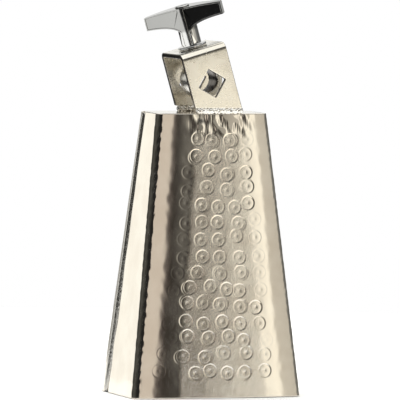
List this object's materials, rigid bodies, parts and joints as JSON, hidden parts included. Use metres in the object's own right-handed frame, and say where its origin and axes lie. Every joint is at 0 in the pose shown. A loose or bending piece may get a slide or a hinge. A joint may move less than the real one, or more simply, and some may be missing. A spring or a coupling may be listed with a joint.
{
  "type": "cowbell",
  "caption": "Mountable percussion cowbell with a ring-hammered front, a leaning strap bracket with diamond rod holes, and an eye bolt clamped by a T-shaped nut.",
  "frame": {"origin": "centre of the mouth's rim plane, under the middle of the bell", "axes": "+Z from the mouth up through the crown, -Y towards the hammered front, +X to the right seen from the front; the bracket leans towards -X"},
  "size_m": [0.0972, 0.064, 0.213],
  "materials": {
    "hammered_plate": "warm nickel plate, satin and stamped in front, mirror-like at the sides",
    "bracket_plate": "warm nickel plate, fine satin with small pits",
    "weld_metal": "plated over rough weld beads",
    "bright_chrome": "polished chrome plate",
    "zinc_steel": "dull zinc plate"
  },
  "bodies": {
    "bell": {"front_shell": "hammered_plate", "rear_shell": "hammered_plate", "seam_weld_left": "weld_metal", "seam_weld_right": "weld_metal", "crown_plate": "hammered_plate", "mount_bracket": "bracket_plate", "bracket_weld_front": "weld_metal", "bracket_weld_rear": "weld_metal"},
    "clamp_bolt": {"eye_bolt": "zinc_steel"},
    "washer": {"flat_washer": "bright_chrome"},
    "clamp_nut": {"t_handle": "bright_chrome", "nut_bush": "bright_chrome"}
  },
  "joints": [
    {"name": "nut_turn", "type": "hinge", "parent": "bell", "child": "clamp_nut", "pos_m": [-0.00748, 0, 0.18939], "axis": [-0.284, 0, 0.9588], "range_deg": [-1080, 1440]},
    {"name": "eye_bolt_slide", "type": "slide", "parent": "bell", "child": "clamp_bolt", "axis": [-0.284, 0, 0.9588], "range_m": [-0.00401, 0.00301]},
    {"name": "washer_spin", "type": "hinge", "parent": "bell", "child": "washer", "pos_m": [-0.00702, 0, 0.18786], "axis": [-0.284, 0, 0.9588], "continuous": true}
  ],
  "couplings": [
    {"joint": "eye_bolt_slide", "follows": "nut_turn", "m_per_rad": -0.00015915}
  ]
}
